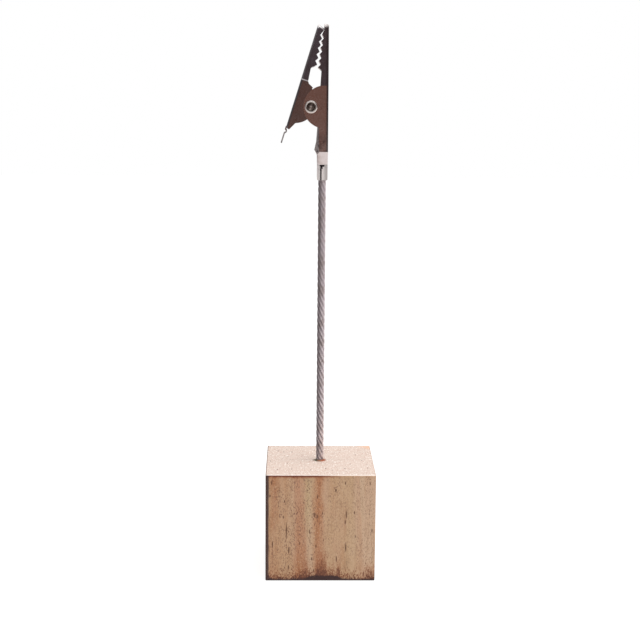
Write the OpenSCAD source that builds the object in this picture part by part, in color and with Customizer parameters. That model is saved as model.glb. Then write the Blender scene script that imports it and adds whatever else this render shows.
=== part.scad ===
// Table card holder: a wooden cube, an upright stem of stranded steel wire, and a
// sprung clip stamped from thin sheet, whose barrel is crimped on the stem's top.
// Millimetres. +Z is up, and the origin is the centre of the cube's underside.
// The clip is seen in profile from -Y. Its fixed jaw stands upright on the +X side.

/* [Block] */
// Edge length of the wooden cube
block_w = 25; // [20:0.5:40]
// Radius worn on the cube's edges
block_edge_r = 0.3; // [0.1:0.05:1.5]
// Depth of the blind hole that holds the stem
socket_depth = 15; // [8:0.5:18]

/* [Stem] */
// Diameter over the twisted strands
stem_d = 1.8; // [1.4:0.1:2.4]
// Height in which a strand goes once round the core
stem_lay = 10; // [9:0.5:20]
// Stem left bare between the cube and the clip's barrel
stem_free = 65.6; // [30:0.2:120]
// Stem that shows above the barrel, inside the clip's neck
stem_end = 1; // [0.4:0.1:2.5]
// Clearance round the core strand
core_gap = 0.02; // [0.01:0.01:0.1]

/* [Glue] */
// Thickness of the glue between the stem and its hole
glue_film = 0.2; // [0.1:0.05:0.5]
// Height of the glue bead on the cube
glue_bead_h = 0.3; // [0.1:0.05:0.8]
// Clearance between the glue and the strands' crowns
glue_gap = 0.02; // [0.01:0.01:0.05]

/* [Clip sheet] */
// Thickness of the sheet that both jaws are stamped from
sheet_t = 0.3; // [0.2:0.05:0.4]
// Outer radius where the back bends into the sides
bend_r = 0.5; // [0.45:0.05:0.7]
// Width over the fixed jaw's ears
ear_w = 5.8; // [5.2:0.1:7.5]
// Width of both jaws at the tip
nose_w = 3.3; // [2.8:0.1:4.2]
// Outer radius where the sides bend into the closed front
tip_r = 0.8; // [0.5:0.05:0.9]
// Clearance each side where the moving ears sit inside the fixed ears
nest_gap = 0.06; // [0.02:0.01:0.1]

/* [Fixed jaw] */
// Height of the pivot above the neck
shank_len = 9.9; // [9:0.1:14]
// Height of the tip above the pivot
nose_len = 18.1; // [17:0.1:20]
// Distance of the pivot from the fixed jaw's back
fixed_pivot_h = 3.87; // [3.7:0.01:4.1]
// Radius of the fixed ear
fixed_ear_r = 4.72; // [4.5:0.02:5.2]
// Distance of the ear's centre from the back
fixed_ear_h = 0.85; // [0.6:0.05:1]
// Height of the sides just below the teeth
fixed_side_h = 1.53; // [1.2:0.05:1.8]
// Height of the shank's sides up to their flared lip
lip_h = 2.05; // [1.9:0.05:2.2]
// Reach of the flared lip at the foot of the shank
lip_flare = 0.9; // [0.4:0.05:1.2]
// Angle that the lip leans out from the side
lip_angle = 22; // [0:1:35]
// How far the lip's foot hooks down beside the neck
lip_drop = 0.6; // [0:0.1:0.8]
// Length over which the neck narrows to the barrel
neck_len = 2.9; // [2.2:0.1:6]
// Length of the crimp barrel
barrel_len = 3.5; // [2.4:0.1:5]
// Clearance between the barrel and the strands' crowns
crimp_gap = 0.01; // [0.005:0.005:0.03]
// Opening between the two crimp wings
crimp_slit = 0.46; // [0.1:0.02:0.7]
// Where the slit lies, counted round from the profile side towards the open side
crimp_turn = 18; // [0:1:60]

/* [Moving jaw] */
// Angle between the two backs when the jaws are shut
rest_angle = 17.3; // [17.2:0.1:20]
// Distance of the pivot from the moving jaw's back
moving_pivot_h = 3.97; // [3.9:0.01:4.3]
// How much shorter the moving jaw's nose is than the fixed one
tip_step = 0.35; // [0.3:0.05:1.1]
// Radius of the moving ear
moving_ear_r = 4.67; // [4.5:0.01:4.8]
// Distance of the ear's centre from the back
moving_ear_h = 0.3; // [0.1:0.05:0.5]
// Height of the sides just below the teeth
moving_side_h = 1.36; // [1.1:0.05:1.6]
// Length of the flanged lever below the pivot
lever_len = 6.2; // [5.5:0.1:6.4]
// Length of the flat thumb tab beyond the lever
tab_len = 3.4; // [2.4:0.1:4]
// Corner radius of the thumb tab
tab_r = 1.3; // [0.5:0.1:2]
// Inside radius of the grip bead pressed across the tab
bead_r = 0.3; // [0.15:0.05:0.5]
// How far the tab stands out from the lever's back
tab_step = 0.12; // [0:0.02:0.2]
// Place of the small step where the nose draws in to the nested ears
joggle_s = 5.15; // [5.1:0.05:5.6]
// How far each side draws in there
joggle = 0.26; // [0.1:0.01:0.26]

/* [Teeth] */
// Distance from tooth to tooth
tooth_pitch = 1.42; // [1.3:0.02:1.46]
// Depth of the teeth
tooth_depth = 0.6; // [0.3:0.05:0.7]
// Number of teeth along a side
tooth_count = 6; // [3:1:6]
// Mean height of the fixed tooth row at its first tooth
fixed_bite_h = 1.25; // [1.1:0.05:1.3]
// Mean height of the moving tooth row at its first tooth
moving_bite_h = 1.4; // [1.2:0.05:1.45]
// Slant of a tooth row against its back
bite_angle = 6.9; // [5:0.1:8]
// Height of the moving jaw's front lip, which closes on the fixed jaw
front_lip_h = 1.6; // [1.5:0.02:1.7]
// Distance from the fixed jaw's tip to its first tooth
first_tooth = 2.35; // [2.2:0.05:2.6]
// Gap left between the two tips when the clip is shut
tip_gap = 0.04; // [0.02:0.01:0.1]
// Depth of the two notches across each front lip
notch_d = 0.3; // [0.1:0.05:0.4]

/* [Rivet] */
// Diameter of the rivet's shank
rivet_d = 2; // [1.8:0.05:2.2]
// Outer diameter of the rolled rim and of the head
rim_d = 2.85; // [2.6:0.05:3.1]
// Diameter of the rim's mouth
mouth_d = 1.95; // [1.7:0.05:2.1]
// Diameter of the rivet's bore
rivet_bore_d = 1.5; // [0.8:0.1:1.6]
// How far the rim stands on the ear
rim_h = 0.36; // [0.2:0.02:0.6]
// Radial clearance of the moving ears on the rivet
pivot_gap = 0.04; // [0.02:0.01:0.08]
// Radial clearance of the fixed ears on the rivet
seat_gap = 0.01; // [0.005:0.005:0.03]

/* [Spring] */
// Diameter of the spring wire
wire_d = 0.5; // [0.3:0.05:0.55]
// Radius of the coil at the middle of the wire
coil_r = 1.45; // [1.4:0.05:1.6]
// Width of the coil from wire centre to wire centre
coil_w = 3.4; // [2.8:0.1:3.5]
// Full turns, beside the part turn between the legs
coil_turns = 3; // [2:1:3]
// How far down its jaw each leg reaches from the pivot
leg_reach = 5.6; // [4:0.1:5.8]
// Clearance between a leg and the back that it presses
leg_gap = 0.03; // [0.02:0.01:0.1]

/* [Hidden] */
strand_count = 6;
// Overrun of the cuts, thickness of a slice inside a hull, and smoothness of round faces
cut = 0.1;
slice = 0.01;
$fn = 64;
bend_facets = 96;

// Heights up the object
socket_z = block_w - socket_depth;
barrel_z = block_w + stem_free;
neck_z = barrel_z + barrel_len;
shank_z = neck_z + neck_len;
pivot_z = shank_z + shank_len;
stem_len = neck_z + stem_end - socket_z;

// Strands. The straight steps between slices pass nearer the core than the true helix
strand_share = 0.311;
steps_per_turn = 12;
strand_d = stem_d * strand_share;
strand_orbit = (stem_d - strand_d) / 2;
strand_lean = atan(2 * PI * strand_orbit / stem_lay);
core_r = (strand_orbit - strand_d / 2) * cos(180 / steps_per_turn) - core_gap;

// Barrel, and the pivot's place beside the stem's axis
barrel_r = stem_d / 2 + crimp_gap + sheet_t;
pivot_x = barrel_r - fixed_pivot_h;

// The moving jaw's ears nest inside the fixed jaw's, and both noses taper alike
moving_w = ear_w - 2 * (sheet_t + nest_gap);
fixed_ear_side_h = fixed_side_h + tooth_depth / 3;
fixed_nose_s = sqrt(pow(fixed_ear_r, 2) - pow(fixed_ear_side_h - fixed_ear_h, 2));
moving_wide_s = joggle_s + joggle / 2;
moving_wide_w = moving_w + 2 * joggle;

moving_nose_len = nose_len - tip_step;

// Teeth. A point of a jaw's side is [height over its back, place along its back from the pivot]
bite_slope = tan(bite_angle);
first_s = nose_len - first_tooth;
last_s = first_s - (tooth_count - 1) * tooth_pitch;
// The moving jaw's first valley lies across from the fixed jaw's first tooth
moving_first_s = (first_s - (moving_pivot_h - moving_bite_h + tooth_depth / 2) * sin(rest_angle))
    / cos(rest_angle);
moving_last_s = moving_first_s - (tooth_count - 1.5) * tooth_pitch;
moving_last_h = moving_bite_h + (moving_first_s - moving_last_s) * bite_slope + tooth_depth / 2;

// The lever's sides taper to this share of the sides below the teeth
lever_side_share = 0.6;

// Corner radius of the window between the moving jaw's teeth and its ear
window_r = tooth_pitch * 0.4;

// The moving front leans back from the jaw's back edge to its lip
front_lean = 0.406;
lip_s = moving_nose_len - front_lip_h * front_lean;
// The fixed front stops just short of the moving lip when the clip is shut
fixed_front_h = fixed_pivot_h - tip_gap
    - (lip_s * sin(rest_angle) + (front_lip_h - moving_pivot_h) * cos(rest_angle));

// Spring legs, as places seen in profile from the pivot
leg_h = sheet_t + leg_gap + wire_d / 2;
fixed_leg_end = [fixed_pivot_h - leg_h, -leg_reach];
moving_leg_end = turned([leg_h - moving_pivot_h, -leg_reach], rest_angle);
wire_sides = 6;
wire_steps = 12;

function turned(p, a) = [p[0] * cos(a) + p[1] * sin(a), p[1] * cos(a) - p[0] * sin(a)];

function arc(centre, r, from, to, steps = 8) =
    [for (i = [0:steps]) let (a = from + (to - from) * i / steps) centre + r * [cos(a), sin(a)]];

// Tooth points from the tip down: a peak first (side 1) or a valley first (side -1)
function tooth_row(s, h, side, points) = [
    for (i = [0:points - 1])
        let (drop = i * tooth_pitch / 2)
        [h + drop * bite_slope + (i % 2 == 0 ? side : -side) * tooth_depth / 2, s - drop]
];

// A ring of points round each point of a path that keeps clear of the Y direction
function unit(v) = v / norm(v);
function along(path, i) = unit(path[min(i + 1, len(path) - 1)] - path[max(i - 1, 0)]);
function tube_points(path, r, sides) = [
    for (i = [0:len(path) - 1])
        let (t = along(path, i), u = unit(cross(t, [0, 1, 0])), v = cross(t, u))
        for (k = [0:sides - 1]) path[i] + r * (cos(360 * k / sides) * u + sin(360 * k / sides) * v)
];
function tube_faces(rings, sides) = concat(
    [for (k = [1:sides - 2]) [0, k, k + 1]],
    [for (i = [0:rings - 2], k = [0:sides - 1])
        let (a = i * sides + k, b = i * sides + (k + 1) % sides)
        each [[a, a + sides, b], [b, a + sides, b + sides]]],
    [for (k = [1:sides - 2]) let (e = (rings - 1) * sides) [e, e + k + 1, e + k]]
);

// The spring's line: up the fixed leg, round the coil and down the moving leg
function leg_angle(end) = atan2(end[1], end[0]) + acos(coil_r / norm(end)) * (end[0] > 0 ? 1 : -1);
coil_from = leg_angle(fixed_leg_end);
coil_to = leg_angle(moving_leg_end) + 360 * (coil_turns + 1);
coil_points = round((coil_to - coil_from) / 360 * wire_steps);
spring_path = concat(
    [[fixed_leg_end[0], -coil_w / 2, fixed_leg_end[1]]],
    [for (i = [0:coil_points])
        let (a = coil_from + (coil_to - coil_from) * i / coil_points)
        [coil_r * cos(a), coil_w * (i / coil_points - 0.5), coil_r * sin(a)]],
    [[moving_leg_end[0], coil_w / 2, moving_leg_end[1]]]
);
spring_gap = min([for (i = [0:len(spring_path) - 1], j = [0:len(spring_path) - 1])
    if (j - i > wire_steps / 2) norm(spring_path[i] - spring_path[j])]) - wire_d;
echo(least_gap_between_the_spring_turns = spring_gap);

// A square or channel outline whose corners on the X = 0 side are round
module round_backed(depth, w, r) {
    translate([0, r - w / 2]) square([depth, w - 2 * r]);
    translate([r, -w / 2]) square([depth - r, w]);
    for (side = [-1, 1]) translate([r, side * (w / 2 - r)]) circle(r, $fn = bend_facets);
}

// The channel's cross-section: back at X = 0, sides up to the given depth
module channel(depth, w) {
    difference() {
        round_backed(depth, w, bend_r);
        translate([sheet_t, 0]) round_backed(depth, w - 2 * sheet_t, bend_r - sheet_t);
    }
}

// Stands a jaw's side up as a plate across the clip: its flange outline and its round ear
module side_plate(outline, ear_h, ear_r) {
    depth = 2 * ear_w;
    rotate([90, 0, 0]) linear_extrude(height = depth, center = true) polygon(outline);
    intersection() {
        translate([ear_h, 0, 0]) rotate([90, 0, 0]) cylinder(r = ear_r, h = depth, center = true);
        translate([0, -depth, -depth]) cube(2 * depth);
    }
}

// A thin slice of the channel at one place, leaning back by lean for each unit of height
module channel_slice(s, w, r, depth, back = 0, lean = 0) {
    multmatrix([[1, 0, 0, back], [0, 1, 0, 0], [-lean, 0, 1, s - lean * back], [0, 0, 0, 1]])
        linear_extrude(height = slice) round_backed(depth, w, r);
}

// Tapered hollow nose with a closed front whose upright corners are rounded. It starts at
// the width of the ears and is widest at wide_s
module nose_shell(from_s, from_w, wide_s, wide_w, tip_s, lean) {
    depth = 2 * fixed_side_h + tooth_depth;
    r_in = bend_r - sheet_t;
    slope = (wide_w - nose_w) / (tip_s - wide_s);
    difference() {
        hull() {
            channel_slice(from_s - cut, from_w, bend_r, depth);
            channel_slice(wide_s, wide_w, bend_r, depth);
            for (a = [0, 30, 60])
                channel_slice(tip_s - tip_r * (1 - sin(a)),
                    nose_w + slope * tip_r * cos(a) - 2 * tip_r * (1 - cos(a)) - slice,
                    bend_r, depth, 0, lean);
            channel_slice(tip_s - slice, nose_w - tip_r * 1.5, bend_r, depth, 0, lean);
        }
        hull() {
            channel_slice(from_s - 2 * cut, from_w - 2 * sheet_t, r_in, depth, sheet_t);
            channel_slice(wide_s, wide_w - 2 * sheet_t, r_in, depth, sheet_t);
            channel_slice(tip_s - tip_r, nose_w + slope * tip_r - 2 * sheet_t, r_in,
                depth, sheet_t, lean);
            channel_slice(tip_s - sheet_t, nose_w - 2 * tip_r, r_in, depth, sheet_t, lean);
        }
    }
}

// Two notches across a front lip, so that it bites like the sides
module lip_notches(h, s) {
    for (side = [-1, 1])
        translate([h, side * nose_w / 6, s]) rotate(45)
            cube([notch_d, notch_d, 2 * bend_r], center = true);
}

// Fixed jaw's side up to its free edge, without the ear
fixed_outline = concat(
    [[0, -shank_len]],
    arc([bend_r, nose_len - bend_r], bend_r, 180, 90),
    [[fixed_front_h, nose_len], [fixed_front_h, first_s + 0.8 * tooth_pitch]],
    tooth_row(first_s, fixed_bite_h, 1, 2 * tooth_count - 1),
    [[fixed_side_h, last_s - tooth_pitch / 2], [fixed_ear_side_h, fixed_nose_s],
        [lip_h, 0], [lip_h, -shank_len]]
);

// Lip along the shank's free edge, which leans out and flares at its foot
module shank_lip() {
    foot = -shank_len;
    translate([lip_h, ear_w / 2, 0]) rotate(lip_angle) rotate([90, 0, 0])
        linear_extrude(height = sheet_t)
            polygon([[-sheet_t / 2, -fixed_ear_r + bend_r], [lip_flare / 4, -fixed_ear_r + sheet_t / 2],
                [lip_flare / 2, foot * 0.78], [lip_flare, foot + sheet_t],
                [lip_flare * 0.45, foot - lip_drop], [-sheet_t / 2, foot]]);
}

// Neck that narrows from the shank's channel to the barrel
module neck() {
    foot = -shank_len - neck_len;
    difference() {
        hull() {
            channel_slice(-shank_len, ear_w, bend_r, 2 * barrel_r);
            translate([barrel_r, 0, foot]) cylinder(r = barrel_r, h = slice);
        }
        hull() {
            channel_slice(-shank_len + slice, ear_w - 2 * sheet_t, bend_r - sheet_t,
                2 * barrel_r, sheet_t);
            translate([barrel_r, 0, foot - slice]) cylinder(r = barrel_r - sheet_t, h = slice);
        }
    }
}

// Part of the barrel's wall between two heights, less an arc on each side of the slit
module barrel_wall(from_z, to_z, right, left) {
    translate([0, 0, from_z]) linear_extrude(height = to_z - from_z)
        polygon(concat(arc([0, 0], barrel_r, right, 360 - left, bend_facets),
            arc([0, 0], barrel_r - sheet_t, 360 - left, right, bend_facets)));
}

// Crimp barrel: two wings that curl round the stem and meet at a slit. Relief cuts free
// their upper corners from the neck
module barrel() {
    slit = asin(crimp_slit / 2 / barrel_r);
    corner_z = barrel_len - crimp_slit;
    rotate(-90 - crimp_turn) {
        barrel_wall(0, corner_z - crimp_slit, slit, slit);
        barrel_wall(corner_z - crimp_slit - slice, corner_z, slit * 2, slit);
        barrel_wall(corner_z - slice, barrel_len, slit * 4, slit * 1.5);
    }
}

// Puts a jaw's own frame, back at X = 0 and pivot at Z = 0, upright on the stem's +X side
module fixed_place() {
    translate([barrel_r, 0, pivot_z]) mirror([1, 0, 0]) children();
}

module moving_place() {
    translate([pivot_x, 0, pivot_z]) rotate([0, rest_angle, 0])
        translate([-moving_pivot_h, 0, 0]) children();
}

module pivot_hole(h, r) {
    translate([h, 0, 0]) rotate([90, 0, 0]) cylinder(r = r, h = 2 * ear_w, center = true);
}

module soft_square(w, r) {
    for (size = [[w, w - 2 * r], [w - 2 * r, w]]) square(size, center = true);
    for (x = [-1, 1], y = [-1, 1]) translate([x, y] * (w / 2 - r)) circle(r);
}

module wooden_block() {
    color("burlywood") difference() {
        translate([0, 0, block_w / 2]) intersection_for (turn = [[0, 0, 0], [90, 0, 0], [0, 90, 0]])
            rotate(turn) linear_extrude(height = block_w, center = true)
                soft_square(block_w, block_edge_r);
        translate([0, 0, socket_z]) cylinder(r = stem_d / 2 + glue_film, h = socket_depth + cut);
    }
}

// Sleeve of glue in the hole, with a small bead round the stem on top
module stem_glue() {
    in_r = stem_d / 2 + glue_gap;
    out_r = stem_d / 2 + glue_film;
    color("tan") rotate_extrude()
        polygon([[in_r, socket_z], [out_r, socket_z], [out_r, block_w],
            [out_r + glue_bead_h, block_w], [out_r, block_w + glue_bead_h / 4],
            [in_r, block_w + glue_bead_h]]);
}

module stem_core_strand() {
    color("silver") translate([0, 0, socket_z]) cylinder(r = core_r, h = stem_len);
}

// One outer strand, laid left-handed round the core
module stem_strand(i) {
    color("darkgray") translate([0, 0, socket_z]) rotate(360 * i / strand_count)
        linear_extrude(height = stem_len, twist = 360 * stem_len / stem_lay,
                slices = ceil(stem_len / stem_lay * steps_per_turn), segments = 6)
            translate([strand_orbit, 0]) scale([1, 1 / cos(strand_lean)])
                circle(d = strand_d, $fn = 6);
}

module fixed_jaw() {
    color("dimgray") {
        fixed_place() difference() {
            union() {
                intersection() {
                    side_plate(fixed_outline, fixed_ear_h, fixed_ear_r);
                    union() {
                        translate([0, 0, -shank_len]) linear_extrude(shank_len + fixed_nose_s)
                            channel(2 * fixed_ear_r, ear_w);
                        nose_shell(fixed_nose_s, ear_w, fixed_nose_s, ear_w, nose_len, 0);
                    }
                }
                shank_lip();
                mirror([0, 1, 0]) shank_lip();
                neck();
            }
            pivot_hole(fixed_pivot_h, rivet_d / 2 + seat_gap);
            lip_notches(fixed_front_h, nose_len);
        }
        translate([0, 0, barrel_z]) barrel();
    }
}

// Moving jaw's side: nose, window, the ear's upper shoulder, and the lever's tapering side
moving_outline = concat(
    [[0, -lever_len + sheet_t / 2]],
    arc([bend_r, moving_nose_len - bend_r], bend_r, 180, 90 + atan(front_lean)),
    [[front_lip_h, lip_s], [front_lip_h, lip_s - sheet_t]],
    tooth_row(moving_first_s, moving_bite_h, -1, 2 * tooth_count - 2),
    arc([moving_side_h + window_r, moving_last_s - tooth_pitch / 2 - window_r],
        window_r, 100, 180, 4),
    [[moving_side_h + sheet_t, joggle_s]],
    arc([moving_ear_h, 0], moving_ear_r + sheet_t, 70, 56, 4),
    [[moving_ear_h + moving_ear_r * cos(72), 0],
        [moving_ear_h + moving_ear_r * cos(72), -moving_ear_r * sin(72)],
        [moving_side_h * lever_side_share, -lever_len]]
);

// Flat thumb tab with a grip bead pressed inwards across it
module thumb_tab() {
    bead_s = -lever_len - bead_r - sheet_t;
    translate([-tab_step, 0, 0]) difference() {
        union() {
            translate([0, 0, -lever_len - tab_len]) rotate([0, -90, 0]) mirror([0, 0, 1])
                linear_extrude(height = sheet_t) round_backed(tab_len + bend_r, moving_w, tab_r);
            intersection() {
                translate([0, 0, bead_s]) rotate([90, 0, 0])
                    cylinder(r = bead_r + sheet_t, h = moving_w, center = true);
                translate([0, -ear_w, -lever_len - tab_len]) cube([ear_w, 2 * ear_w, tab_len]);
            }
        }
        translate([0, 0, bead_s]) rotate([90, 0, 0])
            cylinder(r = bead_r, h = 2 * ear_w, center = true);
    }
}

module moving_jaw() {
    color("gray") moving_place() difference() {
        union() {
            intersection() {
                side_plate(moving_outline, moving_ear_h, moving_ear_r);
                union() {
                    translate([0, 0, -lever_len]) linear_extrude(lever_len + joggle_s)
                        channel(2 * moving_ear_r, moving_w);
                    nose_shell(joggle_s, moving_w, moving_wide_s, moving_wide_w,
                        moving_nose_len, front_lean);
                }
            }
            thumb_tab();
        }
        pivot_hole(moving_pivot_h, rivet_d / 2 + pivot_gap);
        lip_notches(front_lip_h, lip_s);
    }
}

// Torsion spring round the rivet, whose legs press the two backs apart below the pivot
module jaw_spring() {
    color("lightsteelblue") translate([pivot_x, 0, pivot_z])
        polyhedron(tube_points(spring_path, wire_d / 2, wire_sides),
            tube_faces(len(spring_path), wire_sides));
}

// Semi-tubular rivet: domed head on +Y, rolled rim with an open bore on -Y
module pivot_rivet() {
    seat = ear_w / 2;
    roll = (rim_d - mouth_d) / 4;
    crest = [for (p = arc([0, 0], 1, 0, 180)) [mouth_d / 2 + roll + roll * p[0], seat + rim_h * p[1]]];
    dome = [for (p = arc([0, 0], 1, 270, 360)) [rim_d / 2 * p[0], -seat + rim_h * p[1]]];
    color("gainsboro") translate([pivot_x, 0, pivot_z]) rotate([90, 0, 0]) rotate_extrude()
        polygon(concat(
            dome,
            [[rivet_d / 2, -seat], [rivet_d / 2, seat]],
            crest,
            [[rivet_bore_d / 2, seat - rim_h], [rivet_bore_d / 2, -seat / 4], [0, -seat / 3]]
        ));
}

wooden_block();
stem_glue();
stem_core_strand();
for (i = [1:strand_count])
    stem_strand(i);
fixed_jaw();
moving_jaw();
jaw_spring();
pivot_rivet();
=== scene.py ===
import math
import bpy
import numpy as np
from mathutils import Matrix, Vector


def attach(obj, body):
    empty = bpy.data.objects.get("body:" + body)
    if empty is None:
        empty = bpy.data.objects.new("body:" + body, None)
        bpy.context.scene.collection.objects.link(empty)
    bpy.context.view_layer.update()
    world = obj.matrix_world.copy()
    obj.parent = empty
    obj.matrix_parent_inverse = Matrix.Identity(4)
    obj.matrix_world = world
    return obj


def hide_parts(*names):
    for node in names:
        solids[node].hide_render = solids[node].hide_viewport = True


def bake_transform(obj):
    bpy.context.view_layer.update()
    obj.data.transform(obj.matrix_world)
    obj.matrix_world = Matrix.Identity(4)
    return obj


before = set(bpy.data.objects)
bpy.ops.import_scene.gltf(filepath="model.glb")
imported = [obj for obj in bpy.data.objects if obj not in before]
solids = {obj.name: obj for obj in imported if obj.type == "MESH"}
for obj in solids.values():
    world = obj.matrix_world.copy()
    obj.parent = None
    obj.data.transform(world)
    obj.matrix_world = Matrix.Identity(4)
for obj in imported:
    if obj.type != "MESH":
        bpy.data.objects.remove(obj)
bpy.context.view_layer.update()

print("frame loaded")

scene = bpy.context.scene
scene.view_settings.view_transform = "Standard"
mm = 0.001
white = (1, 1, 1, 1)


# Node helpers

def place(tree, kind, **settings):
    node = tree.nodes.new(kind)
    for name, value in settings.items():
        setattr(node, name, value)
    return node


def feed(tree, socket, value):
    if isinstance(value, bpy.types.NodeSocket):
        tree.links.new(value, socket)
    else:
        socket.default_value = value


def calc(tree, how, a, b=0.0, c=0.0):
    node = place(tree, "ShaderNodeMath", operation=how)
    for socket, value in zip(node.inputs, (a, b, c)):
        feed(tree, socket, value)
    return node.outputs[0]


def times(tree, *shares):
    product = shares[0]
    for share in shares[1:]:
        product = calc(tree, "MULTIPLY", product, share)
    return product


def scaleAdd(tree, value, by, add):
    return calc(tree, "MULTIPLY_ADD", value, by, add)


def ruffle(tree, base, texture, by):   # base, moved both ways by a texture
    return scaleAdd(tree, calc(tree, "SUBTRACT", texture, 0.5), by, base)


def away(tree, value, centre):
    return calc(tree, "ABSOLUTE", calc(tree, "SUBTRACT", value, centre))


def distance(tree, a, b):
    return calc(tree, "SQRT", scaleAdd(tree, a, a, times(tree, b, b)))


def calcVector(tree, how, a, b=(0, 0, 0)):
    node = place(tree, "ShaderNodeVectorMath", operation=how)
    feed(tree, node.inputs[0], a)
    feed(tree, node.inputs[1], b)
    return node.outputs["Value" if how == "LENGTH" else "Vector"]


def partsOf(tree, vector):
    node = place(tree, "ShaderNodeSeparateXYZ")
    tree.links.new(vector, node.inputs[0])
    return node.outputs


def facing(tree):
    return partsOf(tree, place(tree, "ShaderNodeNewGeometry").outputs["Normal"])


def ramp(tree, value, low, high, to=(0.0, 1.0), smooth=True):
    kind = "SMOOTHSTEP" if smooth else "LINEAR"
    node = place(tree, "ShaderNodeMapRange", interpolation_type=kind)
    for name, v in (("Value", value), ("From Min", low), ("From Max", high),
                    ("To Min", to[0]), ("To Max", to[1])):
        feed(tree, node.inputs[name], v)
    return node.outputs[0]


def blendColour(tree, share, a, b, how="MIX"):
    node = place(tree, "ShaderNodeMix", data_type="RGBA", blend_type=how)
    for socket, value in ((0, share), (6, a), (7, b)):   # the colour sockets are 6 and 7
        feed(tree, node.inputs[socket], value)
    return node.outputs[2]


def stretch(tree, vector, by, shift=(0, 0, 0)):
    node = place(tree, "ShaderNodeMapping")
    for name, value in (("Vector", vector), ("Scale", by), ("Location", shift)):
        feed(tree, node.inputs[name], value)
    return node.outputs[0]


def noise(tree, vector, scale, detail=2.0, rough=0.5):
    node = place(tree, "ShaderNodeTexNoise")
    for name, value in (("Vector", vector), ("Scale", scale), ("Detail", detail),
                        ("Roughness", rough)):
        feed(tree, node.inputs[name], value)
    return node.outputs[0]


def startGroup(name, inputs, outputs):
    tree = bpy.data.node_groups.new(name, "ShaderNodeTree")
    for label, kind, value in inputs:
        socket = tree.interface.new_socket(name=label, in_out="INPUT",
                                           socket_type=f"NodeSocket{kind}")
        if value is not None:
            socket.default_value = value
    for label, kind in outputs:
        tree.interface.new_socket(name=label, in_out="OUTPUT", socket_type=f"NodeSocket{kind}")
    return tree, place(tree, "NodeGroupInput").outputs, place(tree, "NodeGroupOutput").inputs


def endGroup(tree, out, **values):
    for name, value in values.items():
        tree.links.new(value, out[name])
    return tree


def useGroup(tree, group, **values):
    node = place(tree, "ShaderNodeGroup", node_tree=group)
    for name, value in values.items():
        feed(tree, node.inputs[name], value)
    return node.outputs


def startMaterial(name, colour):
    mat = bpy.data.materials.new(name)
    mat.use_nodes = True
    mat.diffuse_color = colour
    tree = mat.node_tree
    tree.nodes.clear()
    shader = place(tree, "ShaderNodeBsdfPrincipled")
    tree.links.new(shader.outputs[0], place(tree, "ShaderNodeOutputMaterial").inputs[0])
    millimetres = place(tree, "ShaderNodeVectorMath", operation="SCALE")
    tree.links.new(place(tree, "ShaderNodeTexCoord").outputs["Object"], millimetres.inputs[0])
    millimetres.inputs["Scale"].default_value = 1 / mm
    return mat, tree, shader, millimetres.outputs[0]


def addBump(tree, shader, height, depth, strength=1.0):
    bump = place(tree, "ShaderNodeBump")
    bump.inputs["Distance"].default_value = depth * mm
    bump.inputs["Strength"].default_value = strength
    tree.links.new(height, bump.inputs["Height"])
    tree.links.new(bump.outputs[0], shader.inputs["Normal"])
    return bump


def dress(piece, *mats):
    piece.data.materials.clear()
    for mat in mats:
        piece.data.materials.append(mat)


# Shared effects

# Faint marks of the rolling mill and of handling, for every bright metal piece
tree, given, out = startGroup("rolledSheet", [
    ("Place", "Vector", None), ("Tint", "Color", (0.8, 0.8, 0.8, 1)), ("Polish", "Float", 0.1),
    ("Smudge", "Float", 0.3), ("Rolling", "Vector", (1, 1, 0.15))],
    [("Colour", "Color"), ("Roughness", "Float"), ("Height", "Float")])
lines = noise(tree, calcVector(tree, "MULTIPLY", given["Place"], given["Rolling"]), 9.0, 3.0, 0.6)
cloud = noise(tree, given["Place"], 0.55, 3.0, 0.55)
dirt = times(tree, ramp(tree, cloud, 0.42, 0.7), given["Smudge"])
dull = blendColour(tree, dirt, given["Tint"], (0.62, 0.56, 0.50, 1), "MULTIPLY")
lined = blendColour(tree, times(tree, lines, 0.16), dull, (0.6, 0.58, 0.56, 1), "MULTIPLY")
rough = calc(tree, "ADD", given["Polish"], scaleAdd(tree, lines, 0.05, times(tree, dirt, 0.05)))
rolledSheet = endGroup(tree, out, Colour=lined, Roughness=rough,
                       Height=scaleAdd(tree, lines, 0.35, cloud))

# Wood: growth rings about a far-off heart, fibres and patches along the grain, and pores
tree, given, out = startGroup("woodGrain", [
    ("Place", "Vector", None), ("Heart", "Vector", (-30, 44, 0)), ("Ring", "Float", 2.4),
    ("Pores", "Float", 0.6)],
    [("Bands", "Float"), ("Fibre", "Float"), ("Pores", "Float"), ("Patches", "Float"),
     ("Height", "Float")])
at = given["Place"]
wander = noise(tree, stretch(tree, at, (1, 1, 0.16)), 0.12)
fromHeart = calcVector(tree, "SUBTRACT", at, given["Heart"])
far = calcVector(tree, "LENGTH", calcVector(tree, "MULTIPLY", fromHeart, (1, 1, 0)))
age = calc(tree, "DIVIDE", scaleAdd(tree, wander, 7.0, far), given["Ring"])
ring = calc(tree, "FRACT", age)
late = times(tree, ramp(tree, ring, 0.1, 0.88), ramp(tree, ring, 1.0, 0.9))
fibre = noise(tree, stretch(tree, at, (1, 1, 0.07)), 3.4, 4.0, 0.62)
patches = noise(tree, stretch(tree, at, (1, 1, 0.12), (7, 3, 0)), 0.3, 3.0)
cells = place(tree, "ShaderNodeTexVoronoi", feature="F1")
feed(tree, cells.inputs["Vector"], stretch(tree, at, (1, 1, 0.3), (0.37, 0.11, 0.2)))
feed(tree, cells.inputs["Scale"], 0.95)
lot = place(tree, "ShaderNodeSeparateColor")
tree.links.new(cells.outputs["Color"], lot.inputs[0])
pores = times(tree, ramp(tree, cells.outputs["Distance"], 0.16, 0.07),
              calc(tree, "GREATER_THAN", lot.outputs[0], given["Pores"]))   # only some cells
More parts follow.
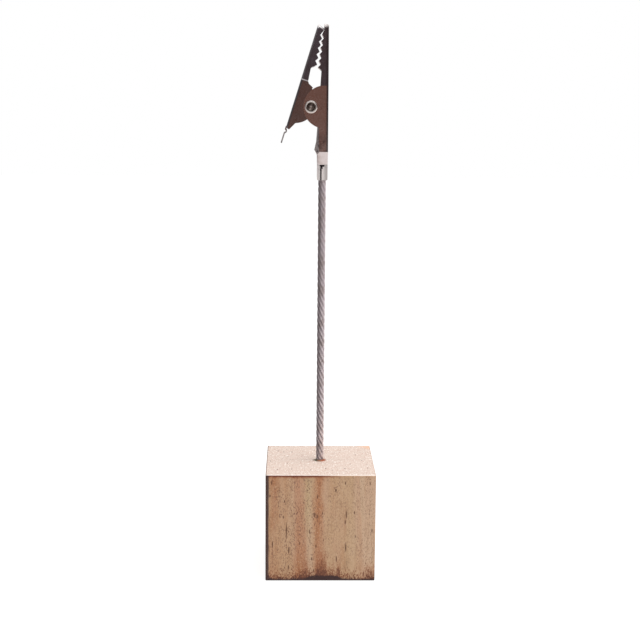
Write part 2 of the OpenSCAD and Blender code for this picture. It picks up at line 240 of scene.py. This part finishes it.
woodGrain = endGroup(tree, out, Bands=late, Fibre=fibre, Pores=pores, Patches=patches,
                     Height=calc(tree, "SUBTRACT", times(tree, fibre, 0.5), pores))
print("shared effects built")


# Wooden block

block = {"width": 25, "ringGap": 2.6, "poreShare": 0.35, "poreHalf": 0.14, "specular": 0.25,
         "bump": 0.12, "bumpStrength": 0.8,
         "light": (0.520, 0.340, 0.204, 1), "red": (0.43, 0.19, 0.09, 1),
         "rust": (0.40, 0.175, 0.08, 1), "honey": (0.47, 0.33, 0.18, 1),
         "pink": (0.54, 0.345, 0.24, 1), "pale": (0.60, 0.435, 0.30, 1),
         "fibre": (0.6, 0.5, 0.42, 1), "pore": (0.11, 0.05, 0.032, 1),
         "fleck": (0.19, 0.10, 0.07, 1), "fringe": (0.33, 0.125, 0.055, 1),
         "wornShadedBrown": (0.125, 0.048, 0.034, 1), "wornShadedBlack": (0.055, 0.031, 0.031, 1),
         "edgeRed": (0.13, 0.035, 0.022, 1),
         "sanded": (0.725, 0.605, 0.53, 1), "topBand": (0.74, 0.54, 0.45, 1),
         "topSpeck": (0.56, 0.36, 0.29, 1), "topStreak": (0.96, 0.89, 0.83, 1),
         "topDot": (0.20, 0.11, 0.09, 1), "sawLine": (0.5, 0.42, 0.37, 1),
         "warmCorner": (0.84, 0.46, 0.26, 1), "topFrontHighlight": (1.0, 0.95, 0.90, 1),
         # stripes on the front as centre, half width, colour, strength low down and high up
         "stripes": ((-10.9, 0.9, "rust", 0.5, 0.95), (-7.8, 1.9, "light", 0.65, 0.55),
                     (-4.6, 1.2, "red", 0.75, 0.45), (-2.8, 0.7, "honey", 0.0, 0.75),
                     (-2.1, 0.7, "pale", 0.2, 0.3), (-0.25, 1.1, "red", 0.65, 0.85),
                     (4.6, 3.0, "light", 0.8, 0.8), (8.6, 1.5, "pale", 0.4, 0.45),
                     (11.0, 1.8, "pale", 0.3, 0.3), (12.6, 1.6, "pale", 0.45, 0.4)),
         # long open pores on the front as x, z, half length
         "openPores": ((-11.1, 23.3, 0.45), (-11.5, 20.2, 0.3), (-8.2, 18.9, 0.35),
                       (-7.7, 12.0, 1.7), (-7.2, 7.3, 0.8), (-10.9, 8.7, 0.8),
                       (-7.2, 3.3, 0.5), (-0.7, 20.0, 0.45), (-1.4, 15.7, 0.6),
                       (3.4, 21.5, 0.4), (5.6, 23.2, 0.4), (5.9, 15.8, 0.9),
                       (5.6, 14.0, 0.5), (5.8, 8.0, 1.0), (3.7, 5.2, 0.7)),
         # dark tongues above the bottom edge, partly wear and partly painted shade, as x, half
         # width, height
         "tongues": ((-3.6, 2.3, 4.0), (0.35, 2.2, 7.0), (2.6, 1.6, 3.4), (4.1, 1.0, 4.2),
                     (11.4, 2.3, 3.3), (-11.8, 1.4, 2.2), (-8.2, 1.5, 1.6))}


def woodMaterial(wear):
    mat, tree, shader, at = startMaterial("sandedHardwood", wear["light"])
    grain = useGroup(tree, woodGrain, Place=at, Ring=wear["ringGap"], Pores=wear["poreShare"])
    width, half = wear["width"], wear["width"] / 2
    x, y, z = partsOf(tree, at)
    normal = facing(tree)
    isTop = ramp(tree, normal[2], 0.6, 0.95)
    notTop = calc(tree, "SUBTRACT", 1.0, isTop)
    isFront = ramp(tree, normal[1], -0.6, -0.95)
    drift = noise(tree, stretch(tree, at, (1, 1, 0.2)), 0.22)
    ragged = noise(tree, stretch(tree, at, (1, 1, 0.5)), 0.9, 5.0, 0.7)
    blotch = noise(tree, stretch(tree, at, (1, 1, 0.3), (2, 6, 1)), 0.55, 3.0, 0.6)
    speckle = noise(tree, stretch(tree, at, (1, 1, 0.55), (3, 9, 4)), 4.2, 3.0, 0.75)

    def tint(colour, paint, *shares, how="MIX"):
        return blendColour(tree, times(tree, *shares), colour, wear[paint], how)

    def hump(value, centre, reach, soft):
        return ramp(tree, away(tree, value, centre), reach + soft, reach - soft)

    # Growth rings all round, and the photographed stripes on the front
    colour = tint(wear["light"], "red", grain["Bands"], 0.75)
    colour = tint(colour, "pink", ramp(tree, grain["Patches"], 0.42, 0.62), 0.6)
    across = ruffle(tree, ruffle(tree, x, ragged, 1.6), drift, 2.2)
    patchy = ramp(tree, blotch, 0.3, 0.6, (0.55, 1.0))
    for centre, reach, paint, low, high in wear["stripes"]:
        strength = times(tree, ramp(tree, z, 3, 20, (low, high)), isFront, patchy)
        colour = tint(colour, paint, hump(across, centre, reach, 0.85), strength)
    colour = tint(colour, "fibre", ramp(tree, grain["Fibre"], 0.45, 0.7), 0.4, how="MULTIPLY")
    crowd = times(tree, ramp(tree, blotch, 0.40, 0.58, (0.45, 1.0)),
                  ramp(tree, x, 4, -2, (0.6, 1.0)))
    colour = tint(colour, "fleck", ramp(tree, speckle, 0.545, 0.61), crowd, notTop)
    colour = tint(colour, "pale", ramp(tree, speckle, 0.44, 0.32), 0.6)

    # Sanded top: pale, with specks and streaks along its grain and a warm corner
    lengthways = stretch(tree, at, (1, 0.38, 1), (5, 8, 0))
    specks = noise(tree, lengthways, 3.2, 3.0, 0.75)
    streaks = noise(tree, lengthways, 2.4, 3.0, 0.7)
    dotPlace = stretch(tree, at, (0.85, 0.3, 0.2), (11, 5, 2))
    dots = useGroup(tree, woodGrain, Place=dotPlace, Pores=wear["poreShare"])
    sawLine = away(tree, scaleAdd(tree, x, -0.05, y), scaleAdd(tree, ragged, 0.5, 0.1))
    corner = scaleAdd(tree, ragged, 5.0, calc(tree, "ADD", x, y))
    backRim = ramp(tree, scaleAdd(tree, ragged, 1.2, y), half + 0.1, half + 0.6)
    sideRim = ramp(tree, scaleAdd(tree, ragged, 0.8, calc(tree, "ABSOLUTE", x)),
                   half + 0.1, half + 0.5)
    top = tint(wear["sanded"], "topBand", grain["Bands"], 0.2)
    top = tint(top, "topSpeck", ramp(tree, specks, 0.53, 0.6), 0.75)
    top = tint(top, "topStreak", ramp(tree, streaks, 0.45, 0.36), 0.85)
    top = tint(top, "topDot", dots["Pores"], 0.85)
    top = tint(top, "sawLine", ramp(tree, sawLine, 0.22, 0.02), 0.45)
    top = tint(top, "warmCorner", ramp(tree, corner, width - 2.5, width + 1.5), 0.7)
    top = tint(top, "topDot", calc(tree, "MAXIMUM", backRim, sideRim),
               ramp(tree, speckle, 0.48, 0.56), 0.8)
    # painted highlight along the rounded front edge of the top
    top = tint(top, "topFrontHighlight", ramp(tree, y, -half + 0.6, -half + 0.3), 0.7)
    colour = blendColour(tree, times(tree, isTop, 0.94), colour, top)
    colour = tint(colour, "pore", grain["Pores"], scaleAdd(tree, isTop, -0.3, 0.8))

    # Long open pores on the front
    holes = 0.0
    for poreX, poreZ, reach in wear["openPores"]:
        offX = calc(tree, "SUBTRACT", scaleAdd(tree, ragged, 0.25, x), poreX + 0.12)
        offX = calc(tree, "DIVIDE", offX, wear["poreHalf"])
        offZ = calc(tree, "DIVIDE", calc(tree, "SUBTRACT", z, poreZ), reach)
        oval = calc(tree, "ADD", times(tree, offX, offX), times(tree, offZ, offZ))
        holes = calc(tree, "MAXIMUM", holes, ramp(tree, oval, 1.7, 0.2))
    colour = tint(colour, "pore", holes, isFront, 0.8)

    # Darkened bottom edge with tongues, a dark red line under the top and a dark left edge: partly
    # wear, partly painted shade
    tongue = 1.5
    for centre, reach, height in wear["tongues"]:
        rise = ramp(tree, away(tree, x, centre), reach, 0)
        rounded = times(tree, rise, calc(tree, "SUBTRACT", 2.0, rise), height)
        tongue = calc(tree, "MAXIMUM", tongue, rounded)
    level = ruffle(tree, ruffle(tree, z, speckle, -11.0), ragged, 2.6)
    climb = calc(tree, "DIVIDE", level, tongue)
    colour = tint(colour, "fringe", ramp(tree, climb, 1.5, 0.3), 0.8)
    colour = tint(colour, "wornShadedBrown", ramp(tree, climb, 0.85, 0.05), 0.95)
    darkLineHeight = scaleAdd(tree, hump(x, 0.8, 3.6, 1.5), 0.75, 0.35)
    darkLineLevel = calc(tree, "SUBTRACT", ruffle(tree, z, ragged, 0.9), darkLineHeight)
    colour = tint(colour, "wornShadedBlack", ramp(tree, darkLineLevel, 0.4, -0.1), 0.95)
    leftward = ramp(tree, scaleAdd(tree, ragged, 6.0, x), 9, 1)
    warm = ramp(tree, scaleAdd(tree, ragged, 1.0, z), width - 0.4, width + 0.2)
    colour = tint(colour, "fringe", warm, scaleAdd(tree, leftward, 0.9, 0.1), notTop, 0.85)
    under = ramp(tree, scaleAdd(tree, ragged, 0.7, z), width - 0.15, width + 0.1)
    colour = tint(colour, "edgeRed", under, leftward, notTop, 0.9)
    ridge = ramp(tree, scaleAdd(tree, ragged, 0.5, x), -half + 1.2, -half + 0.75)
    colour = tint(colour, "wornShadedBlack", ridge, ramp(tree, y, -half + 1.6, -half + 0.5), notTop, 0.95)

    tree.links.new(colour, shader.inputs["Base Color"])
    tree.links.new(scaleAdd(tree, grain["Fibre"], 0.2, 0.55), shader.inputs["Roughness"])
    shader.inputs["Specular IOR Level"].default_value = wear["specular"]
    relief = calc(tree, "SUBTRACT", scaleAdd(tree, speckle, 0.5, grain["Height"]), holes)
    addBump(tree, shader, relief, wear["bump"], wear["bumpStrength"])
    return mat


dress(solids["wooden_block"], woodMaterial(block))
print("wooden block dressed")


# Bright metal: make holds tint, polish and smudge, with painted shade, a painted tip highlight and
# a matt lower part where they are asked for

def metalMaterial(name, make, rolling=(1, 1, 0.15), wave=0.004, flat=False, mattAndTipHighlight=False, shadeMask=None):
    mat, tree, shader, at = startMaterial(name, make["tint"])
    marks = useGroup(tree, rolledSheet, Place=at, Tint=make["tint"], Polish=make["polish"],
                     Smudge=make["smudge"], Rolling=rolling)
    x, y, z = partsOf(tree, at)
    colour, rough, metallic = marks["Colour"], marks["Roughness"], 1.0
    if mattAndTipHighlight:   # pale and matt below one height; pale, matt and less metallic at the tip as a painted highlight
        low = ramp(tree, z, make["mattBelow"], make["mattBelow"] - 0.6)
        tip = ramp(tree, z, make["tipHighlight"], make["tipHighlight"] + 0.5, (0.0, 0.75))
        colour = blendColour(tree, low, colour, make["pale"])
        colour = blendColour(tree, tip, colour, make["pale"])
        rough = scaleAdd(tree, tip, 0.3, scaleAdd(tree, low, make["mattBy"], rough))
        metallic = ramp(tree, z, make["wornBelow"], make["wornBelow"] - 0.3, (1.0, 0.55))
        metallic = scaleAdd(tree, tip, -0.55, metallic)
    # painted shade, and on the shank darker streaks, multiplied into the colour
    if shadeMask:
        colour = blendColour(tree, shadeMask(tree, at, x, y, z), colour, make["shadeTone"], "MULTIPLY")
    tree.links.new(colour, shader.inputs["Base Color"])
    tree.links.new(rough, shader.inputs["Roughness"])
    feed(tree, shader.inputs["Metallic"], metallic)
    bump = addBump(tree, shader, marks["Height"], wave)
    if flat:   # true normals keep the mirrored room straight on long flat faces
        geometry = place(tree, "ShaderNodeNewGeometry")
        tree.links.new(geometry.outputs["True Normal"], bump.inputs["Normal"])
    return mat


def softenEdges(piece, width, angle=4.6):
    weld = piece.modifiers.new("weld", "WELD")
    weld.merge_threshold = 0.002 * mm
    joined = piece.modifiers.new("flatFaces", "DECIMATE")
    joined.decimate_type = "DISSOLVE"
    joined.angle_limit = math.radians(0.6)
    bevel = piece.modifiers.new("bevel", "BEVEL")
    bevel.width = width * mm
    bevel.segments = 2
    bevel.limit_method = "ANGLE"
    bevel.angle_limit = math.radians(angle)
    bevel.material = len(piece.data.materials) - 1
    piece.data.shade_smooth()
    piece.modifiers.new("normals", "WEIGHTED_NORMAL").keep_sharp = False


# Clip: two jaws of nickel-plated sheet on a rivet

clip = {"pivot": (-2.66, 0, 106.9), "lean": 17.3, "joggle": 5.15, "edge": 0.04,
        "polish": 0.07, "smudge": 0.45, "pale": (0.97, 0.92, 0.90, 1)}
fixedJaw = {**clip, "tint": (0.78, 0.725, 0.725, 1), "shadeTone": (0.12, 0.105, 0.10, 1),
            "mattBelow": 94.3, "mattBy": 0.4, "wornBelow": 94.3, "tipHighlight": 124.1}
# the moving jaw's lighter, bluer tint and shade tone are painted light: both jaws are the same
# plated sheet
movingJaw = {**clip, "tint": (0.80, 0.80, 0.84, 1), "shadeTone": (0.10, 0.11, 0.13, 1),
             "mattBelow": 101.9, "mattBy": 0.6, "wornBelow": 0.0, "tipHighlight": 124.0}
rivet = {"tint": (0.96, 0.92, 0.88, 1), "shadeTone": (0.13, 0.09, 0.08, 1), "polish": 0.28,
         "smudge": 0.2, "edge": 0.03, "edgeAngle": 40}


def fromPivot(tree, x, z):
    return (calc(tree, "SUBTRACT", x, clip["pivot"][0]),
            calc(tree, "SUBTRACT", z, clip["pivot"][2]))


def onSides(tree):
    return ramp(tree, calc(tree, "ABSOLUTE", facing(tree)[1]), 0.3, 0.7)


def rivetShadeAndGlint(tree, at, x, y, z):   # painted shade in the bore, darker to the upper left, with one slanted painted highlight
    offX, offZ = fromPivot(tree, x, z)
    bore = times(tree, ramp(tree, distance(tree, offX, offZ), 1.0, 0.8),
                 ramp(tree, y, 1.5, 1.2))
    slope = calc(tree, "SUBTRACT", offZ, times(tree, offX, 0.6))
    slant = calc(tree, "ABSOLUTE", scaleAdd(tree, offZ, -0.3, offX))
    return times(tree, bore, ramp(tree, slope, -0.7, 0.5, (0.7, 1)),
                 ramp(tree, slant, 0.1, 0.3, (0.0, 0.65)))


def shankShadeAndStreaks(tree, at, x, y, z):   # darker streaks low on the shank, a painted dark reflection in a band by the back, painted shade on one wing
    low = times(tree, ramp(tree, z, 102, 99), ramp(tree, z, 96.9, 97.1))
    texture = noise(tree, stretch(tree, at, (1, 1, 0.5)), 1.1, 3.0, 0.6)
    streaks = times(tree, low, ramp(tree, texture, 0.36, 0.62, (0.05, 0.75)))
    backReflection = times(tree, ramp(tree, x, 0.45, 0.85, (0.0, 0.45)), ramp(tree, z, 96.9, 97.3))
    wingShade = times(tree, ramp(tree, z, 94.3, 94.0), ramp(tree, x, -0.1, 0.9, (0.0, 0.5)))
    marks = times(tree, calc(tree, "MAXIMUM", streaks, backReflection), onSides(tree))
    return calc(tree, "MAXIMUM", marks, wingShade)


def leverShade(tree, at, x, y, z):   # painted shade below the joggle, and more on the thumb tab
    lean = math.radians(clip["lean"])
    offX, offZ = fromPivot(tree, x, z)
    along = scaleAdd(tree, offX, math.sin(lean), times(tree, offZ, math.cos(lean)))
    low = ramp(tree, along, clip["joggle"] + 0.15, clip["joggle"] - 0.1, (0.0, 0.43))
    tab = ramp(tree, z, 100.3, 99.3, (0.0, 0.7))
    return calc(tree, "MAXIMUM", times(tree, low, onSides(tree)), tab)


for name, make, shadeMask in (("fixed_jaw", fixedJaw, shankShadeAndStreaks),
                          ("moving_jaw", movingJaw, leverShade)):
    sheet = metalMaterial("nickelSheet", make, flat=True, mattAndTipHighlight=True, shadeMask=shadeMask)
    edges = metalMaterial("nickelEdges", make, mattAndTipHighlight=True, shadeMask=shadeMask)
    dress(solids[name], sheet, edges)
    softenEdges(solids[name], make["edge"])
dress(solids["pivot_rivet"], metalMaterial("nickelRivet", rivet, (1, 1, 1), shadeMask=rivetShadeAndGlint))
softenEdges(solids["pivot_rivet"], rivet["edge"], rivet["edgeAngle"])
print("clip dressed")


# Round tubes along many paths, as one mesh

def ringsAlong(path, radius, sides):
    ahead = np.gradient(path, axis=0)
    ahead /= np.linalg.norm(ahead, axis=1)[:, None]
    side = np.cross(ahead, (0.0, 1.0, 0.0))
    side /= np.linalg.norm(side, axis=1)[:, None]
    up = np.cross(ahead, side)
    turn = np.linspace(0, 2 * math.pi, sides, endpoint=False)[None, :, None]
    ring = np.cos(turn) * side[:, None] + np.sin(turn) * up[:, None]
    return path[:, None] + radius * ring


def tubes(name, paths, radius, sides):
    points, faces = [], []
    for path in paths:
        start = len(points)
        points.extend((ringsAlong(path, radius, sides) * mm).reshape(-1, 3).tolist())
        lastRing = start + (len(path) - 1) * sides
        for ring in range(start, lastRing, sides):
            for k in range(sides):
                a, b = ring + k, ring + (k + 1) % sides
                faces.append((a, a + sides, b + sides, b))
        faces.append(tuple(range(start, start + sides)))
        faces.append(tuple(range(lastRing + sides - 1, lastRing - 1, -1)))
    mesh = bpy.data.meshes.new(name)
    mesh.from_pydata(points, [], faces)
    mesh.validate()
    mesh.shade_smooth()
    piece = bpy.data.objects.new(name, mesh)
    scene.collection.objects.link(piece)
    return piece


# Wire rope: six strands of six wires each, laid round a straight core

rope = {"foot": 10, "top": 95.1, "across": 1.8, "lay": 10, "strands": 6, "wires": 6,
        "strandAcross": 0.56, "wireLay": 4.2, "step": 0.32, "sides": 6,
        "tint": (1.0, 0.94, 0.98, 1), "shadeTone": (0.12, 0.11, 0.125, 1),
        "polish": 0.44, "smudge": 0.5, "core": {"polish": 0.3, "smudge": 0.6}}


def ropePaths(make):
    height = np.arange(make["foot"], make["top"] + 1e-6, make["step"])
    climbed = height - make["foot"]
    orbit = (make["across"] - make["strandAcross"]) / 2
    wireAcross = make["strandAcross"] / 3
    paths = []
    for s in range(make["strands"]):
        around = 2 * math.pi * ((s + 1) / make["strands"] - climbed / make["lay"])
        centre = np.stack([orbit * np.cos(around), orbit * np.sin(around), height], 1)
        out = np.stack([np.cos(around), np.sin(around), 0 * height], 1)
        ahead = np.gradient(centre, axis=0)
        ahead /= np.linalg.norm(ahead, axis=1)[:, None]
        beside = np.cross(ahead, out)
        for w in range(make["wires"]):
            turn = (2 * math.pi * (w / make["wires"] + climbed / make["wireLay"]))[:, None]
            paths.append(centre + wireAcross * (np.cos(turn) * out + np.sin(turn) * beside))
    return paths, wireAcross / 2


def ropeShade(tree, at, x, y, z):   # painted shade inside the barrel, between the wires, and down the left side
    grooves = ramp(tree, distance(tree, x, y), 0.84, 0.70, (0.0, 0.12))
    leftSide = ramp(tree, x, 0.1, -0.6, (0.0, 0.45))
    return calc(tree, "MAXIMUM", ramp(tree, z, 90.3, 90.9),
                calc(tree, "MAXIMUM", grooves, leftSide))


paths, wireRadius = ropePaths(rope)
ropePiece = tubes("wireRope", paths, wireRadius, rope["sides"])
dress(ropePiece, metalMaterial("drawnRopeWire", rope, (1, 1, 0.4), 0.002, shadeMask=ropeShade))
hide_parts(*[f"stem_strand_{i + 1}" for i in range(rope["strands"])])
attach(ropePiece, "stand")
dress(solids["stem_core_strand"], metalMaterial("coreWire", {**rope, **rope["core"]}))
print("wire rope laid")


# Glue round the stem's foot

glue = {"colour": (0.38, 0.13, 0.07, 1), "dark": (0.12, 0.10, 0.06, 1), "gloss": 0.3,
        "bump": 0.1}
mat, tree, shader, at = startMaterial("driedGlue", glue["colour"])
lumps = noise(tree, at, 1.6, 3.0)
# painted shade on the glue's left side, its own orange colour to the right
unshadedShare = ramp(tree, scaleAdd(tree, lumps, 1.2, partsOf(tree, at)[0]), -0.2, 1.0)
tree.links.new(blendColour(tree, unshadedShare, glue["dark"], glue["colour"]),
               shader.inputs["Base Color"])
shader.inputs["Roughness"].default_value = glue["gloss"]
addBump(tree, shader, lumps, glue["bump"])
dress(solids["stem_glue"], mat)
print("glue dressed")


# Torsion spring: fixed leg, coil round the rivet, moving leg

spring = {"wire": 0.5, "coilRadius": 1.45, "coilWidth": 3.4, "turns": 3, "reach": 5.6,
          "gap": 0.03, "sheet": 0.3, "fixedBack": 3.87, "movingBack": 3.97,
          "coilSteps": 48, "legSteps": 12, "sides": 12,
          "tint": (0.60, 0.58, 0.56, 1), "polish": 0.2, "smudge": 0.3}


def springPath(make):
    radius, width = make["coilRadius"], make["coilWidth"]
    inset = make["sheet"] + make["gap"] + make["wire"] / 2
    lean = math.radians(clip["lean"])
    fixedEnd = (make["fixedBack"] - inset, -make["reach"])
    leg = (inset - make["movingBack"], -make["reach"])
    movingEnd = (leg[0] * math.cos(lean) + leg[1] * math.sin(lean),
                 leg[1] * math.cos(lean) - leg[0] * math.sin(lean))

    def leaves(end):   # where a straight leg touches the coil
        sideways = math.acos(radius / math.hypot(*end))
        return math.atan2(end[1], end[0]) + math.copysign(1, end[0]) * sideways

    rounds = make["turns"] + 1
    angles = np.linspace(leaves(fixedEnd), leaves(movingEnd) + 2 * math.pi * rounds,
                         make["coilSteps"] * rounds)
    share = np.linspace(-0.5, 0.5, len(angles))
    coil = np.stack([radius * np.cos(angles), width * share, radius * np.sin(angles)], 1)
    first = np.array([fixedEnd[0], -width / 2, fixedEnd[1]])
    last = np.array([movingEnd[0], width / 2, movingEnd[1]])
    legShares = np.linspace(0, 1, make["legSteps"])[:-1, None]
    path = np.concatenate([first + (coil[0] - first) * legShares, coil,
                           last + (coil[-1] - last) * legShares[::-1]])
    return path + np.array(clip["pivot"])


springPiece = tubes("torsionSpring", [springPath(spring)], spring["wire"] / 2, spring["sides"])
dress(springPiece, metalMaterial("springWire", spring, (1, 1, 1), 0.002))
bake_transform(springPiece)
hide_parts("jaw_spring")
print("spring wound")


# Pale floor: it glows a little for the camera, and shows bright metal a toned sheet

studio = {"floorReach": 3.3, "paper": (0.8, 0.79, 0.78, 1), "glow": (1.34, 1.34, 1.34, 1),
          "cameraShare": 0.6, "mirrorShare": 0.97,
          "leftFloor": (0.45, 0.40, 0.40, 1), "rightFloor": (0.90, 0.84, 0.82, 1),
          "lampPlace": (0.25, -0.1, 0.6), "lampAim": (0, 0, 0.05), "lampSize": 0.5,
          "lampPower": 2.2}

bpy.ops.mesh.primitive_plane_add(size=studio["floorReach"], location=(0, 0, 0))
floor = bpy.context.object
floor.name = "paleFloor"
mat = bpy.data.materials.new("paleFloor")
mat.use_nodes = True
tree = mat.node_tree
tree.nodes.clear()
rays = place(tree, "ShaderNodeLightPath").outputs
mirrored = calc(tree, "MAXIMUM", rays["Is Glossy Ray"], rays["Is Transmission Ray"])
seen = calc(tree, "MAXIMUM", times(tree, rays["Is Camera Ray"], studio["cameraShare"]),
            times(tree, mirrored, studio["mirrorShare"]))
paper = place(tree, "ShaderNodeBsdfDiffuse")
paper.inputs["Color"].default_value = studio["paper"]
glow = place(tree, "ShaderNodeEmission")
floorX = partsOf(tree, place(tree, "ShaderNodeTexCoord").outputs["Object"])[0]
toned = blendColour(tree, ramp(tree, floorX, -0.35, 0.05), studio["leftFloor"],
                    studio["rightFloor"])
tree.links.new(blendColour(tree, rays["Is Glossy Ray"], studio["glow"], toned),
               glow.inputs["Color"])
mixer = place(tree, "ShaderNodeMixShader")
for socket, value in zip(mixer.inputs, (seen, paper.outputs[0], glow.outputs[0])):
    tree.links.new(value, socket)
tree.links.new(mixer.outputs[0], place(tree, "ShaderNodeOutputMaterial").inputs[0])
dress(floor, mat)


# World: white behind the object, soft light, and for glossy rays a dark room round the horizon

room = {"front": (0.055, 0.042, 0.046, 1), "farFront": (0.17, 0.088, 0.068, 1),
        "highFront": (0.068, 0.050, 0.054, 1), "left": (0.13, 0.12, 0.12, 1),
        "back": (0.32, 0.29, 0.28, 1), "overLeft": (0.62, 0.59, 0.60, 1),
        "overRight": (0.98, 0.96, 0.95, 1), "under": (0.62, 0.61, 0.61, 1)}

world = bpy.data.worlds.new("studio")
scene.world = world
world.use_nodes = True
tree = world.node_tree
tree.nodes.clear()
toX, toY, toZ = partsOf(tree, place(tree, "ShaderNodeTexCoord").outputs["Generated"])
belt = times(tree, ramp(tree, toZ, -0.3, -0.08), ramp(tree, toZ, 0.72, 0.5))
dark = blendColour(tree, ramp(tree, calc(tree, "ABSOLUTE", toY), 0.7, 0.95), room["front"],
                   room["farFront"])
dark = blendColour(tree, ramp(tree, toZ, 0.03, 0.2), dark, room["highFront"])
dark = blendColour(tree, times(tree, ramp(tree, toX, -0.3, -0.6), 0.8), dark, room["left"])
dark = blendColour(tree, ramp(tree, toY, 0.2, 0.7), dark, room["back"])
bright = blendColour(tree, ramp(tree, toX, -0.7, 0.7), room["overLeft"], room["overRight"])
soft = blendColour(tree, ramp(tree, toZ, -0.2, 1.0, smooth=False), room["under"], white)
rays = place(tree, "ShaderNodeLightPath").outputs
lit = blendColour(tree, rays["Is Glossy Ray"], soft, blendColour(tree, belt, bright, dark))
backdrop = calc(tree, "MAXIMUM", rays["Is Camera Ray"], rays["Is Transmission Ray"])
background = place(tree, "ShaderNodeBackground")
tree.links.new(blendColour(tree, backdrop, lit, white), background.inputs["Color"])
tree.links.new(background.outputs[0], place(tree, "ShaderNodeOutputWorld").inputs[0])

softbox = bpy.data.lights.new("softbox", "AREA")
softbox.shape = "SQUARE"
softbox.size = studio["lampSize"]
softbox.energy = studio["lampPower"]
lamp = bpy.data.objects.new("softbox", softbox)
lamp.location = studio["lampPlace"]
lampWay = Vector(studio["lampAim"]) - lamp.location
lamp.rotation_euler = lampWay.to_track_quat("-Z", "Y").to_euler()
lamp.visible_glossy = False
scene.collection.objects.link(lamp)


# Camera, as fitted to the photo: place in mm, angles in degrees, focal length in pixels

view = {"place": (-0.22, -279.46, 106.61), "pitch": 9.78, "roll": 0.48, "yaw": 1.27,
        "focal": 1228, "pixels": 640, "sensor": 36, "near": 0.005}
pitch, roll, yaw = (math.radians(view[name]) for name in ("pitch", "roll", "yaw"))
ahead = Vector((0, math.cos(pitch), -math.sin(pitch)))
above = Vector((0, math.sin(pitch), math.cos(pitch)))
right = Vector((1, 0, 0))
tiltedRight = math.cos(roll) * right + math.sin(roll) * above
tiltedUp = math.cos(roll) * above - math.sin(roll) * right
tripod = Matrix((tiltedRight, tiltedUp, -ahead)).transposed().to_4x4()
tripod.translation = Vector(view["place"]) * mm
cameraData = bpy.data.cameras.new("camera")
cameraData.sensor_width = view["sensor"]
cameraData.lens = view["focal"] / view["pixels"] * view["sensor"]
cameraData.clip_start = view["near"]
camera = bpy.data.objects.new("camera", cameraData)
camera.matrix_world = Matrix.Rotation(-yaw, 4, "Z") @ tripod
scene.collection.objects.link(camera)
scene.camera = camera
print("stage set")
